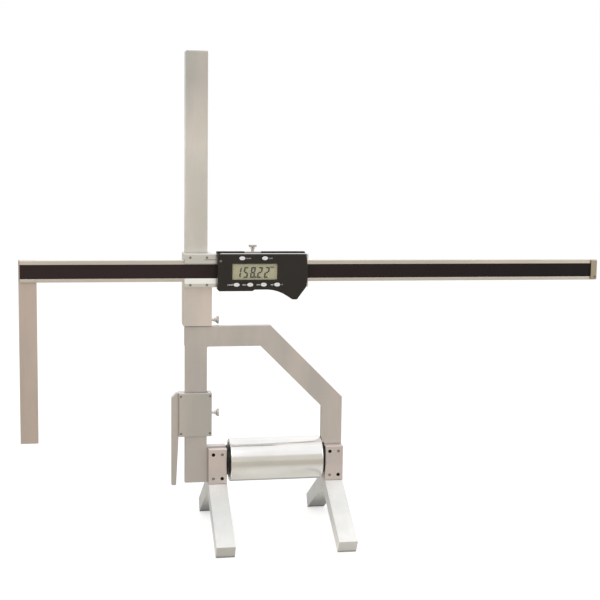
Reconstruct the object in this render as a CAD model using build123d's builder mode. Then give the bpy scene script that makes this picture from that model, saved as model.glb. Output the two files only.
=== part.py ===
from build123d import *
import os
from math import cos, radians, sin, tan

# Wheelset measuring gauge. Two V feet stand on a wheelset's axle and carry a plate frame with a grip.
# A carriage slides up a column and holds a digital caliper, whose beam carries a long measuring leg.
# A locating jaw slides on the frame's left upright, and the display reads from leg to jaw.
# +X runs along the beam, +Y points away from the reader and +Z points up.
# The origin is on the ground, under the middle of the beam, half way between front and rear legs.

# Fits
SLIDE_GAP = 0.10
GIB_GAP = 0.05
SHAFT_GAP = 0.05
SCREW_GAP = 0.05
EDGE_BREAK = 0.4

# Screws and dowels
M16 = 1.6
M16_HEAD = 2.4
M16_HEAD_HEIGHT = 0.6
M2 = 2.0
M2_CORE = 1.4
M3 = 3.0
M4 = 4.0
M4_HEAD = 7.0
M4_SOCKET = 3.0
DOWEL = 3.2
DOWEL_DOME = 0.4
SOCKET_DEPTH_SHARE = 0.55
SLOT_WIDTH_SHARE = 0.18
SLOT_DEPTH_SHARE = 0.8
HEAD_BELOW_FACE = 0.3
BLIND_END = 0.5

# Beam, scale and measuring leg
BEAM_LENGTH = 630.0
BEAM_HEIGHT = 22.7
BEAM_THICKNESS = 5.0
BEAM_BOTTOM_Z = 278.5
STRIP_HEIGHT = 14.8
STRIP_THICKNESS = 0.5
STRIP_DROP = 0.4
READING = 158.22
FACE_PROUD = 1.6
LEG_WIDTH = 18.2
LEG_THICKNESS = 5.0
LEG_BOTTOM_Z = 108.3
LEG_SCREW_SPREAD_X = 9.6
LEG_SCREW_SPREAD_Z = 12.0
LEG_SCREW_HEAD = 5.0
LEG_SCREW_HEAD_HEIGHT = 1.6
END_STOP_LENGTH = 7.0
END_STOP_HEIGHT = 21.0
END_STOP_THICKNESS = 2.0
END_SCREW_RISE = 3.5
END_SCREW_INSET = 2.4
END_SCREW_REACH = 4.0

# Frame plate and column
PLATE_THICKNESS = 8.0
UPRIGHT_WIDTH = 23.4
ARM_WIDTH = 22.3
STRUT_WIDTH = 23.7
RIGHT_UPRIGHT_WIDTH = 22.5
FRAME_WIDTH = 172.5
ARM_TOP_Z = 229.5
ARM_LENGTH = 92.6
CORNER_RADIUS = 1.5
COLUMN_DEPTH = 16.0
COLUMN_TOP_Z = 519.4
COLUMN_SCREW_SPREAD_X = 12.0
COLUMN_SCREW_SPREAD_Z = 12.0
COLUMN_SCREW_REACH = 6.0
COLUMN_SCREW_SINK = 4.0

# V feet, clamping blocks and grip
FOOT_SLOPE = 30.0
FOOT_THICKNESS = 16.0
FOOT_HALF_SPAN = 84.0
FOOT_FLAT_DEPTH = 0.6
FOOT_PITCH = 128.1
APEX_RELIEF_WIDTH = 3.0
APEX_RELIEF_DEPTH = 1.5
BLOCK_WIDTH = 19.8
BLOCK_THICKNESS = 10.0
BLOCK_HEIGHT = 38.3
BLOCK_SCREW_SPREAD_X = 9.6
BLOCK_SCREW_EDGE = 6.0
BLOCK_SCREW_HEAD = 3.8
BLOCK_SCREW_SOCKET = 1.5
BLOCK_SCREW_SINK = 2.3
BLOCK_SCREW_REACH = 7.0
FOOT_SCREW_LENGTH = 19.0
FOOT_SCREW_SEAT_DROP = 8.3
FOOT_SCREW_HEAD_HEIGHT = 4.0
TAB_RISE = 1.6
GRIP_RISE = 23.3
GRIP_DIAMETER = 46.5
GRIP_WALL = 4.0
GRIP_CHAMFER = 1.5
GRIP_END_GAP = 3.6
BUSH_BOSS_DIAMETER = 32.4
BUSH_DEPTH = 12.0
AXLE_DIAMETER = 16.0
SPIGOT_DIAMETER = 12.0
SPIGOT_LENGTH = 8.0
END_PLAY = 0.3

# Carriage
CARRIAGE_STOP_GAP = 0.6
FRONT_WALL = 4.0
SIDE_WALL = 2.0
GIB_WALL = 3.5
GIB_THICKNESS = 1.0
BACK_WALL = 4.0
BACK_SCREW_REACH = 6.0
BACK_SCREW_HEAD_HEIGHT = 0.8
BACK_SCREW_SHARES = (0.1, 0.5, 0.9)
GIB_END_GAP = 1.0
CARRIAGE_LOCK_RISE = 5.2

# Cursor frame and its keepers
CURSOR_BACK = 3.0
CURSOR_ABOVE_BEAM = 6.7
CURSOR_BELOW_BEAM = 5.7
CURSOR_PAST_HOUSING = 2.6
KEEPER_THICKNESS = 2.0
KEEPER_LAP = 3.6
KEEPER_TAB = 5.9
KEEPER_BEVEL_HEIGHT = 5.6
KEEPER_BEVEL_DEPTH = 1.6
KEEPER_SCREW_SPREAD = 17.5
KEEPER_SCREW_SHIFT = 1.0
KEEPER_SCREW_EDGE = 3.8
LOWER_SCREW_EDGE = 2.4
KEEPER_SLIT_HEIGHT = 0.9
KEEPER_SLIT_DROP = 5.6
KEEPER_SLIT_LENGTH = 13.0
KEEPER_SLIT_DEPTH = 1.2
KEEPER_TAB_TOP_DROP = 3.4
TAB_SCREW_INSET = 2.8
TAB_SCREW_RISE = 3.6
BOSS_WIDTH = 18.0
BOSS_ROOT = 1.0
BEAM_LOCK_INSET = 38.4

# Display housing: insets of the thumb rest are measured from the right side, the others from the left
HOUSING_STANDOFF = 4.0
HOUSING_WIDTH = 95.8
HOUSING_DEPTH = 11.7
HOUSING_TOP = 18.7
HOUSING_BOTTOM = 20.5
HOUSING_WALL = 1.6
HOUSING_SIDE = 6.9
RIDGE_TOP = 20.5
RIDGE_LIP = 1.5
ROOF_DEPTH = 7.0
CORNER_CUT = 1.5
TOP_CORNER_INSET = 1.5
SIDE_RISE = 3.6
SIDE_DROP = 8.0
SIDE_ROUND = 4.0
WAIST_INSET = 1.2
WAIST_DROP = 16.0
FACE_CHAMFER = 0.9
HOLLOW_START = 36.8
HOLLOW_RAMP = 2.2
HOLLOW_BOTTOM = 19.0
BEND_START_INSET = 44.8
BEND_END_INSET = 25.3
BEND_END_DROP = 24.0
TAIL_LEFT_INSET = 16.3
TAIL_RIGHT_INSET = 11.3
TAIL_DROP = 29.7
TAIL_ROUND = 2.0
THUMB_GROOVES = 5
THUMB_GROOVE_RADIUS = 0.6
THUMB_GROOVE_PITCH = 1.6
THUMB_GROOVE_START = 2.4
CAVITY_TOP = 17.4
CAVITY_BOTTOM = 16.9
WINDOW_WIDTH = 47.9
WINDOW_INSET = 39.1
WINDOW_HEIGHT = 16.9
WINDOW_SINK = 0.4
LCD_THICKNESS = 2.0
LCD_MARGIN = 1.3
BOARD_THICKNESS = 1.0
CONTACT_STRIP_HEIGHT = 1.6
BATTERY_DIAMETER = 11.6
BATTERY_THICKNESS = 5.4
BATTERY_DROP = 2.2
BATTERY_END_GAP = 0.3
LID_HEIGHT = 12.4
LID_DEPTH = 6.2
LID_SINK = 0.3
LID_NOTCH_RADIUS = 1.2
LID_NOTCH_DEPTH = 0.8
CLIP_ARM = 5.0
CLIP_WIDTH = 6.0
CLIP_METAL = 0.3
HOUSING_SCREW_HEAD = 2.6
HOUSING_SCREW_HEAD_HEIGHT = 1.0
HOUSING_SCREW_END_GAP = 0.2
REAR_SCREW_EDGE = 3.4
REAR_SCREW_REACH = 7.0
REAR_SCREW_HEAD_HEIGHT = 1.2

# Buttons
BUTTON_NAMES = ["mode", "hold", "power", "zero", "unit", "preset"]
BUTTON_LENGTH = 6.4
BUTTON_HEIGHT = 4.0
BUTTON_PROUD = 0.9
BUTTON_TRAVEL = 0.6
BUTTON_GAP = 0.2
BUTTON_FLANGE = 0.7
BUTTON_FLANGE_THICKNESS = 1.0
BUTTON_ROW_PITCH = 14.4
LOWER_ROW_INSET = 19.6
LOWER_ROW_DROP = 13.6
UPPER_ROW_INSET = 25.5
UPPER_ROW_PITCH = 24.1
UPPER_ROW_RISE = 14.3
PAD_HEIGHT = 6.0
PAD_MARGIN = 1.0

# Locating jaw
JAW_REACH = 14.3
JAW_BOTTOM_Z = 110.0
JAW_HEIGHT = 47.3
JAW_PLATE = 4.0
JAW_SIDE_BAR = 3.8
JAW_COVER_INSET = 7.6
JAW_CORNER = 5.0
BLADE_TIP_Z = 56.2
BLADE_TIP_WIDTH = 4.7
BLADE_ROOT_WIDTH = 7.3
JAW_SCREW_EDGE = 3.4
JAW_SCREW_INSET = 2.0
JAW_LOCK_RISE = 24.5

# Lock screws
LOCK_STEM_DIAMETER = 3.0
LOCK_STEM_SHOWN = 3.9
BEAM_LOCK_SHOWN = 2.4
LOCK_COLLAR_RADIUS = 2.2
LOCK_COLLAR_LENGTH = 1.0
LOCK_HEAD_RADIUS = 4.2
LOCK_HEAD_LENGTH = 4.6
LOCK_RIM = 1.8
LOCK_GROOVES = 16
LOCK_GROOVE_DEPTH = 0.3
LOCK_GROOVE_WIDTH = 0.6

# Where the pieces stand
beam_left = -BEAM_LENGTH / 2
beam_right = BEAM_LENGTH / 2
beam_top_z = BEAM_BOTTOM_Z + BEAM_HEIGHT
beam_mid_z = BEAM_BOTTOM_Z + BEAM_HEIGHT / 2
measuring_face_x = beam_left - FACE_PROUD
locating_face_x = measuring_face_x + READING

plate_front = -PLATE_THICKNESS / 2
plate_back = PLATE_THICKNESS / 2
column_back = plate_front + COLUMN_DEPTH
upright_left = locating_face_x + JAW_REACH
upright_right = upright_left + UPRIGHT_WIDTH
upright_mid = upright_left + UPRIGHT_WIDTH / 2
frame_right = upright_left + FRAME_WIDTH
arm_bottom_z = ARM_TOP_Z - ARM_WIDTH
arm_mid_z = ARM_TOP_Z - ARM_WIDTH / 2

slope = radians(FOOT_SLOPE)
foot_tip_y = FOOT_HALF_SPAN + FOOT_THICKNESS * sin(slope)
foot_tip_z = FOOT_THICKNESS * cos(slope) - FOOT_FLAT_DEPTH
seat_half = PLATE_THICKNESS / 2 + BLOCK_THICKNESS
seat_z = foot_tip_z + (foot_tip_y - seat_half) * tan(slope)
apex_z = FOOT_HALF_SPAN * tan(slope) - FOOT_FLAT_DEPTH
block_top_z = seat_z + BLOCK_HEIGHT
right_foot_x = frame_right - BLOCK_WIDTH / 2
left_foot_x = right_foot_x - FOOT_PITCH
foot_places = {"left": left_foot_x, "right": right_foot_x}
inner_left = left_foot_x + BLOCK_WIDTH / 2
inner_right = right_foot_x - BLOCK_WIDTH / 2
grip_z = seat_z + GRIP_RISE
grip_left = inner_left + GRIP_END_GAP
grip_right = inner_right - GRIP_END_GAP

carriage_left = upright_left - SLIDE_GAP - SIDE_WALL
gib_left = upright_right + SLIDE_GAP
wall_left = gib_left + GIB_THICKNESS + GIB_GAP
carriage_right = wall_left + GIB_WALL
carriage_bottom_z = ARM_TOP_Z + CARRIAGE_STOP_GAP
carriage_top_z = beam_top_z + CURSOR_ABOVE_BEAM
channel_inner = plate_front - SLIDE_GAP
channel_front = channel_inner - FRONT_WALL
channel_back = column_back + SLIDE_GAP
carriage_lock_z = carriage_bottom_z + CARRIAGE_LOCK_RISE

cursor_front = channel_front - CURSOR_BACK
cursor_bottom_z = BEAM_BOTTOM_Z - CURSOR_BELOW_BEAM
beam_back = cursor_front - SLIDE_GAP
beam_front = beam_back - BEAM_THICKNESS
beam_mid_y = beam_back - BEAM_THICKNESS / 2
rail_front = beam_front - SLIDE_GAP
keeper_front = rail_front - KEEPER_THICKNESS
gib_bottom_z = beam_top_z + SLIDE_GAP
top_rail_z = gib_bottom_z + GIB_THICKNESS + GIB_GAP
upper_screw_z = carriage_top_z - KEEPER_SCREW_EDGE
lower_screw_z = cursor_bottom_z + LOWER_SCREW_EDGE

housing_left = carriage_right + HOUSING_STANDOFF
housing_right = housing_left + HOUSING_WIDTH
housing_front = rail_front - HOUSING_DEPTH
ridge_top_z = beam_mid_z + RIDGE_TOP
cursor_right = housing_right + CURSOR_PAST_HOUSING
keeper_right = housing_left + KEEPER_TAB
cavity_left = housing_left + HOUSING_SIDE
cavity_right = housing_right - HOUSING_SIDE
wall_back = housing_front + HOUSING_WALL
board_front = rail_front - BOARD_THICKNESS
beam_lock_x = housing_left + BEAM_LOCK_INSET
window_left = housing_left + WINDOW_INSET - WINDOW_WIDTH / 2
window_right = window_left + WINDOW_WIDTH
battery_x = cavity_right - BATTERY_END_GAP - BATTERY_DIAMETER / 2
battery_z = beam_mid_z - BATTERY_DROP

jaw_right = wall_left + JAW_SIDE_BAR
jaw_top_z = JAW_BOTTOM_Z + JAW_HEIGHT
jaw_lock_z = JAW_BOTTOM_Z + JAW_LOCK_RISE
cover_left = locating_face_x + JAW_COVER_INSET

housing_plane = Plane(origin=(housing_left, rail_front, beam_mid_z), x_dir=(1, 0, 0), z_dir=(0, -1, 0))
rear_screws = [
    (housing_left + REAR_SCREW_EDGE, lower_screw_z),
    (housing_right - REAR_SCREW_EDGE, upper_screw_z),
    (housing_right - REAR_SCREW_EDGE, lower_screw_z),
]
lower_buttons = [
    (housing_left + LOWER_ROW_INSET + i * BUTTON_ROW_PITCH, beam_mid_z - LOWER_ROW_DROP) for i in range(4)
]
upper_buttons = [
    (housing_left + UPPER_ROW_INSET + i * UPPER_ROW_PITCH, beam_mid_z + UPPER_ROW_RISE) for i in range(2)
]
button_places = upper_buttons + lower_buttons

pieces = {}


def facing(y):
    """The XZ plane at depth y. Its normal points at the reader, so an extrusion comes forward."""
    return Plane.XZ.offset(-y)


def slab(x, y, z, mode=Mode.ADD):
    """A rectangular block between three pairs of limits."""
    with Locations(((x[0] + x[1]) / 2, (y[0] + y[1]) / 2, (z[0] + z[1]) / 2)):
        Box(x[1] - x[0], y[1] - y[0], z[1] - z[0], mode=mode)


def drill(plane, radius, depth, mode=Mode.SUBTRACT):
    """A round hole, or pin, that starts on the plane and runs against its normal."""
    with BuildSketch(plane) as hole:
        Circle(radius)
    extrude(hole.sketch, amount=-depth, mode=mode)


def keep(name, piece):
    """Name a finished piece and note it for writing."""
    piece.part.label = name
    pieces[name] = piece.part


def cap_screw(shank, length, head, head_height, socket):
    """A socket screw along Z: its head stands on z = 0 and its shank points down."""
    with BuildPart() as screw:
        Cylinder(head / 2, head_height, align=(Align.CENTER, Align.CENTER, Align.MIN))
        Cylinder(shank / 2, length, align=(Align.CENTER, Align.CENTER, Align.MAX))
        with BuildSketch(Plane.XY.offset(head_height)):
            RegularPolygon(socket / 2, 6, major_radius=False)
        extrude(amount=-head_height * SOCKET_DEPTH_SHARE, mode=Mode.SUBTRACT)
    return screw.part


def slotted_screw(shank, length, head, head_height):
    """A flat screw along Z with a straight slot: its head stands on z = 0."""
    with BuildPart() as screw:
        Cylinder(head / 2, head_height, align=(Align.CENTER, Align.CENTER, Align.MIN))
        Cylinder(shank / 2, length, align=(Align.CENTER, Align.CENTER, Align.MAX))
        with Locations((0, 0, head_height)):
            Box(head, head * SLOT_WIDTH_SHARE, head_height * SLOT_DEPTH_SHARE, mode=Mode.SUBTRACT)
    return screw.part


def looking(point, normal):
    """A plane at a point whose normal is the way a screw's head faces."""
    return Plane(origin=point, z_dir=normal)


def lock_screw(stem_length):
    """A knurled thumb screw along Z: its tip is at z = 0 and its head flares at the far end."""
    head_z = stem_length
    flare_z = head_z + LOCK_COLLAR_LENGTH
    rim_z = head_z + LOCK_HEAD_LENGTH - LOCK_RIM
    top_z = head_z + LOCK_HEAD_LENGTH
    stem = LOCK_STEM_DIAMETER / 2
    with BuildPart() as screw:
        with BuildSketch(Plane.XZ):
            with BuildLine():
                Polyline((0, 0), (stem, 0), (stem, head_z), (LOCK_COLLAR_RADIUS, head_z))
                Polyline((LOCK_COLLAR_RADIUS, head_z), (LOCK_COLLAR_RADIUS, flare_z), (LOCK_HEAD_RADIUS, rim_z))
                Polyline((LOCK_HEAD_RADIUS, rim_z), (LOCK_HEAD_RADIUS, top_z), (0, top_z), (0, 0))
            make_face()
        revolve(axis=Axis.Z)
        with BuildSketch(Plane.XY.offset(top_z)):
            with PolarLocations(LOCK_HEAD_RADIUS, LOCK_GROOVES):
                Rectangle(2 * LOCK_GROOVE_DEPTH, LOCK_GROOVE_WIDTH)
        extrude(amount=-LOCK_RIM, mode=Mode.SUBTRACT)
    return screw.part


# Frame plate: left upright, arm, 45 degree strut and right upright from one plate, with a tab per foot
arm_end_x = upright_left + ARM_LENGTH
strut_foot_z = ARM_TOP_Z - (frame_right - arm_end_x)
strut_cut = STRUT_WIDTH / cos(radians(45))
tab_top_z = block_top_z + TAB_RISE
notch_half = SPIGOT_DIAMETER / 2 + SHAFT_GAP
notch_depth = SPIGOT_LENGTH + 2 * SHAFT_GAP
right_inner = frame_right - RIGHT_UPRIGHT_WIDTH
block_screw_xs = [-BLOCK_SCREW_SPREAD_X / 2, BLOCK_SCREW_SPREAD_X / 2]
block_screw_zs = [seat_z + BLOCK_SCREW_EDGE, block_top_z - BLOCK_SCREW_EDGE]
block_screws = [
    (foot_x + block_screw_xs[i], block_screw_zs[1 - i]) for foot_x in foot_places.values() for i in (0, 1)
]
block_dowels = [
    (foot_x + block_screw_xs[i], block_screw_zs[i]) for foot_x in foot_places.values() for i in (0, 1)
]
column_screws = [
    (upright_mid + i * COLUMN_SCREW_SPREAD_X / 2, arm_mid_z + j * COLUMN_SCREW_SPREAD_Z / 2)
    for i in (-1, 1)
    for j in (-1, 1)
]
column_dowels = [(upright_mid, arm_mid_z + j * COLUMN_SCREW_SPREAD_Z / 2) for j in (-1, 1)]

with BuildPart() as frame_plate:
    with BuildSketch(facing(plate_back)):
        with BuildLine():
            Polyline(
                (upright_left, seat_z),
                (upright_left, ARM_TOP_Z),
                (arm_end_x, ARM_TOP_Z),
                (frame_right, strut_foot_z),
                (frame_right, seat_z),
                (inner_right, seat_z),
                (inner_right, tab_top_z),
                (right_inner, tab_top_z),
                (right_inner, strut_foot_z + RIGHT_UPRIGHT_WIDTH - strut_cut),
                (arm_end_x + ARM_WIDTH - strut_cut, arm_bottom_z),
                (upright_right, arm_bottom_z),
                (upright_right, tab_top_z),
                (inner_left, tab_top_z),
                (inner_left, seat_z),
                close=True,
            )
        make_face()
        for side, sign in ((inner_left, -1), (inner_right, 1)):
            with Locations((side + sign * notch_depth / 2, grip_z)):
                Rectangle(notch_depth, 2 * notch_half, mode=Mode.SUBTRACT)
    extrude(amount=PLATE_THICKNESS)
    inside_corner = (
        frame_plate.edges()
        .filter_by(Axis.Y)
        .filter_by_position(Axis.X, upright_right - 0.1, upright_right + 0.1)
        .filter_by_position(Axis.Z, arm_bottom_z - 0.1, arm_bottom_z + 0.1)
    )
    fillet(inside_corner, CORNER_RADIUS)
    chamfer(frame_plate.faces().filter_by(Axis.Y).sort_by(Axis.Y)[0].outer_wire().edges(), EDGE_BREAK)
    for x, z in block_screws:
        drill(looking((x, plate_front, z), (0, -1, 0)), M2 / 2 + SCREW_GAP, PLATE_THICKNESS)
    for x, z in block_dowels:
        drill(looking((x, plate_front, z), (0, -1, 0)), DOWEL / 2, PLATE_THICKNESS)
    for x, z in column_screws:
        drill(looking((x, plate_back, z), (0, 1, 0)), M4 / 2, COLUMN_SCREW_REACH)
    for x, z in column_dowels:
        drill(looking((x, plate_back, z), (0, 1, 0)), DOWEL / 2, COLUMN_SCREW_REACH)
keep("frame_plate", frame_plate)

# Column: it stands on the arm's corner and its foot laps behind the plate
with BuildPart() as column:
    with BuildSketch(Plane.YZ.offset(upright_left)):
        with BuildLine():
            Polyline(
                (plate_front, ARM_TOP_Z),
                (plate_front, COLUMN_TOP_Z),
                (column_back, COLUMN_TOP_Z),
                (column_back, arm_bottom_z),
                (plate_back, arm_bottom_z),
                (plate_back, ARM_TOP_Z),
                close=True,
            )
        make_face()
    extrude(amount=UPRIGHT_WIDTH)
    chamfer(column.faces().sort_by(Axis.Z)[-1].edges(), 2 * EDGE_BREAK)
    for x, z in column_screws:
        drill(looking((x, column_back, z), (0, 1, 0)), M4_HEAD / 2 + SCREW_GAP, COLUMN_SCREW_SINK)
        drill(looking((x, column_back, z), (0, 1, 0)), M4 / 2 + SCREW_GAP, COLUMN_DEPTH)
    for x, z in column_dowels:
        drill(looking((x, column_back, z), (0, 1, 0)), DOWEL / 2, COLUMN_DEPTH)
keep("column", column)

column_screw = cap_screw(
    M4,
    column_back - COLUMN_SCREW_SINK - plate_back + COLUMN_SCREW_REACH,
    M4_HEAD,
    COLUMN_SCREW_SINK - HEAD_BELOW_FACE,
    M4_SOCKET,
)
with BuildPart() as column_screw_set:
    for x, z in column_screws:
        with Locations(looking((x, column_back - COLUMN_SCREW_SINK, z), (0, 1, 0))):
            add(column_screw)
keep("column_screws", column_screw_set)

with BuildPart() as column_dowel_set:
    for x, z in column_dowels:
        drill(
            looking((x, column_back, z), (0, 1, 0)),
            DOWEL / 2,
            column_back - plate_back + COLUMN_SCREW_REACH,
            mode=Mode.ADD,
        )
    chamfer(column_dowel_set.edges().filter_by(GeomType.CIRCLE), DOWEL_DOME)
keep("column_dowels", column_dowel_set)

# Feet: a V of two legs with a milled seat on its crown, and the blocks that clamp the plate's tab above it
foot_screw_y = PLATE_THICKNESS / 2 + BLOCK_THICKNESS / 2
foot_screw_seat_z = seat_z - FOOT_SCREW_SEAT_DROP
foot_screw = cap_screw(M4, FOOT_SCREW_LENGTH, M4_HEAD, FOOT_SCREW_HEAD_HEIGHT, M4_SOCKET)

for side, foot_x in foot_places.items():
    inward = 1 if side == "left" else -1
    inner_face = foot_x + inward * BLOCK_WIDTH / 2

    with BuildPart() as v_foot:
        with BuildSketch(Plane.YZ.offset(foot_x - BLOCK_WIDTH / 2)):
            with BuildLine():
                Polyline(
                    (0, apex_z),
                    (FOOT_HALF_SPAN, -FOOT_FLAT_DEPTH),
                    (foot_tip_y, foot_tip_z),
                    (seat_half, seat_z),
                    (0, seat_z),
                    close=True,
                )
            make_face()
            mirror(about=Plane.YZ)
            with Locations((0, apex_z)):
                Rectangle(APEX_RELIEF_WIDTH, 2 * APEX_RELIEF_DEPTH, mode=Mode.SUBTRACT)
        extrude(amount=BLOCK_WIDTH)
        split(bisect_by=Plane.XY, keep=Keep.TOP)
        tips = v_foot.edges().filter_by(Axis.X).group_by(SortBy.DISTANCE)[-1]
        chamfer(tips, EDGE_BREAK)
        for y in (-foot_screw_y, foot_screw_y):
            drill(looking((foot_x, y, foot_screw_seat_z), (0, 0, 1)), M4_HEAD / 2 + SCREW_GAP, apex_z)
            drill(looking((foot_x, y, seat_z), (0, 0, 1)), M4 / 2 + SCREW_GAP, FOOT_THICKNESS)
    keep(f"{side}_v_foot", v_foot)

    for place, near, far in (("front", -seat_half, plate_front), ("rear", plate_back, seat_half)):
        with BuildPart() as block:
            slab((foot_x - BLOCK_WIDTH / 2, foot_x + BLOCK_WIDTH / 2), (near, far), (seat_z, block_top_z))
            outer = block.faces().filter_by(Axis.Y).sort_by(Axis.Y)[0 if place == "front" else -1]
            chamfer(outer.edges(), EDGE_BREAK)
            drill(looking((inner_face, 0, grip_z), (inward, 0, 0)), notch_half, notch_depth)
            for x, z in block_screws:
                if abs(x - foot_x) < BLOCK_WIDTH / 2:
                    face = looking((x, near, z), (0, -1, 0))
                    drill(face, M2 / 2 + SCREW_GAP, BLOCK_THICKNESS)
                    if place == "front":
                        drill(face, BLOCK_SCREW_HEAD / 2 + SCREW_GAP, BLOCK_SCREW_SINK)
            for x, z in block_dowels:
                if abs(x - foot_x) < BLOCK_WIDTH / 2:
                    drill(looking((x, near, z), (0, -1, 0)), DOWEL / 2, BLOCK_THICKNESS)
            drill(
                looking((foot_x, (near + far) / 2, foot_screw_seat_z + FOOT_SCREW_LENGTH), (0, 0, 1)),
                M4 / 2,
                FOOT_SCREW_LENGTH,
            )
        keep(f"{side}_{place}_block", block)

with BuildPart() as foot_screw_set:
    for foot_x in foot_places.values():
        for y in (-foot_screw_y, foot_screw_y):
            with Locations(looking((foot_x, y, foot_screw_seat_z), (0, 0, -1))):
                add(foot_screw)
keep("foot_screws", foot_screw_set)

block_screw = cap_screw(
    M2,
    seat_half - BLOCK_SCREW_SINK + plate_back + BLOCK_SCREW_REACH,
    BLOCK_SCREW_HEAD,
    BLOCK_SCREW_SINK - HEAD_BELOW_FACE,
    BLOCK_SCREW_SOCKET,
)
with BuildPart() as block_screw_set:
    for x, z in block_screws:
        with Locations(looking((x, -seat_half + BLOCK_SCREW_SINK, z), (0, -1, 0))):
            add(block_screw)
keep("block_screws", block_screw_set)

with BuildPart() as block_dowel_set:
    for x, z in block_dowels:
        drill(looking((x, -seat_half, z), (0, -1, 0)), DOWEL / 2, 2 * seat_half, mode=Mode.ADD)
    chamfer(block_dowel_set.edges().filter_by(GeomType.CIRCLE), DOWEL_DOME)
keep("block_dowels", block_dowel_set)

# Grip: a polished tube that turns on a tie rod held between the two feet
with BuildPart() as grip_axle:
    with BuildSketch(looking((inner_left, 0, grip_z), (1, 0, 0))):
        Circle(AXLE_DIAMETER / 2)
    extrude(amount=inner_right - inner_left)
    with BuildSketch(looking((inner_left - SPIGOT_LENGTH, 0, grip_z), (1, 0, 0))):
        Circle(SPIGOT_DIAMETER / 2)
    extrude(amount=inner_right - inner_left + 2 * SPIGOT_LENGTH)
keep("grip_axle", grip_axle)

with BuildPart() as grip_tube:
    with BuildSketch(looking((grip_left, 0, grip_z), (1, 0, 0))):
        Circle(GRIP_DIAMETER / 2)
        Circle(GRIP_DIAMETER / 2 - GRIP_WALL, mode=Mode.SUBTRACT)
    extrude(amount=grip_right - grip_left)
    rims = grip_tube.edges().filter_by(GeomType.CIRCLE).sort_by(SortBy.RADIUS)[-2:]
    chamfer(rims, GRIP_CHAMFER)
keep("grip_tube", grip_tube)

for side, end_x, outward in (("left", grip_left, -1), ("right", grip_right, 1)):
    with BuildPart() as bush:
        with BuildSketch(looking((end_x, 0, grip_z), (-outward, 0, 0))):
            Circle(GRIP_DIAMETER / 2 - GRIP_WALL)
        extrude(amount=BUSH_DEPTH)
        with BuildSketch(looking((end_x, 0, grip_z), (outward, 0, 0))):
            Circle(BUSH_BOSS_DIAMETER / 2)
        extrude(amount=GRIP_END_GAP - END_PLAY)
        drill(
            looking((end_x + outward * GRIP_END_GAP, 0, grip_z), (outward, 0, 0)),
            AXLE_DIAMETER / 2 + SHAFT_GAP,
            BUSH_DEPTH + 2 * GRIP_END_GAP,
        )
    keep(f"{side}_grip_bush", bush)

# Carriage: a channel round the column, closed by a back plate, with a gib under its lock screw
carriage_mid_y = (plate_front + column_back) / 2
back_screws = [
    (x, carriage_bottom_z + (carriage_top_z - carriage_bottom_z) * share)
    for x in (carriage_left + SIDE_WALL / 2, (wall_left + carriage_right) / 2)
    for share in BACK_SCREW_SHARES
]
keeper_screw_xs = [upright_mid + KEEPER_SCREW_SHIFT + i * KEEPER_SCREW_SPREAD / 2 for i in (-1, 1)]
keeper_screws = [(x, z) for x in keeper_screw_xs for z in (upper_screw_z, lower_screw_z)]

with BuildPart() as carriage_channel:
    with BuildSketch(Plane.XY.offset(carriage_bottom_z)):
        with BuildLine():
            Polyline(
                (carriage_left, channel_back),
                (carriage_left, channel_front),
                (carriage_right, channel_front),
                (carriage_right, channel_back),
                (wall_left, channel_back),
                (wall_left, channel_inner),
                (upright_left - SLIDE_GAP, channel_inner),
                (upright_left - SLIDE_GAP, channel_back),
                close=True,
            )
        make_face()
    extrude(amount=carriage_top_z - carriage_bottom_z)
    chamfer(
        carriage_channel.edges().filter_by(Axis.Z).group_by(Axis.Y)[0],
        EDGE_BREAK,
    )
    drill(
        looking((carriage_right, carriage_mid_y, carriage_lock_z), (1, 0, 0)),
        LOCK_STEM_DIAMETER / 2 + SHAFT_GAP,
        GIB_WALL,
    )
    for x, z in back_screws:
        drill(looking((x, channel_back, z), (0, 1, 0)), M2_CORE / 2, BACK_SCREW_REACH)
    for x, z in keeper_screws:
        drill(looking((x, channel_front, z), (0, -1, 0)), M16 / 2, FRONT_WALL - BLIND_END)
keep("carriage_channel", carriage_channel)

with BuildPart() as carriage_back_plate:
    slab(
        (carriage_left, carriage_right),
        (channel_back, channel_back + BACK_WALL),
        (carriage_bottom_z, carriage_top_z),
    )
    chamfer(carriage_back_plate.faces().sort_by(Axis.Y)[-1].edges(), EDGE_BREAK)
    for x, z in back_screws:
        drill(looking((x, channel_back + BACK_WALL, z), (0, 1, 0)), M2_CORE / 2, BACK_WALL)
keep("carriage_back_plate", carriage_back_plate)

back_screw = slotted_screw(M2_CORE, BACK_WALL + BACK_SCREW_REACH, M2, BACK_SCREW_HEAD_HEIGHT)
with BuildPart() as back_screw_set:
    for x, z in back_screws:
        with Locations(looking((x, channel_back + BACK_WALL, z), (0, 1, 0))):
            add(back_screw)
keep("carriage_back_screws", back_screw_set)

with BuildPart() as carriage_gib:
    slab(
        (gib_left, gib_left + GIB_THICKNESS),
        (plate_front, column_back),
        (carriage_bottom_z + GIB_END_GAP, carriage_top_z - GIB_END_GAP),
    )
keep("carriage_gib", carriage_gib)

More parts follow.
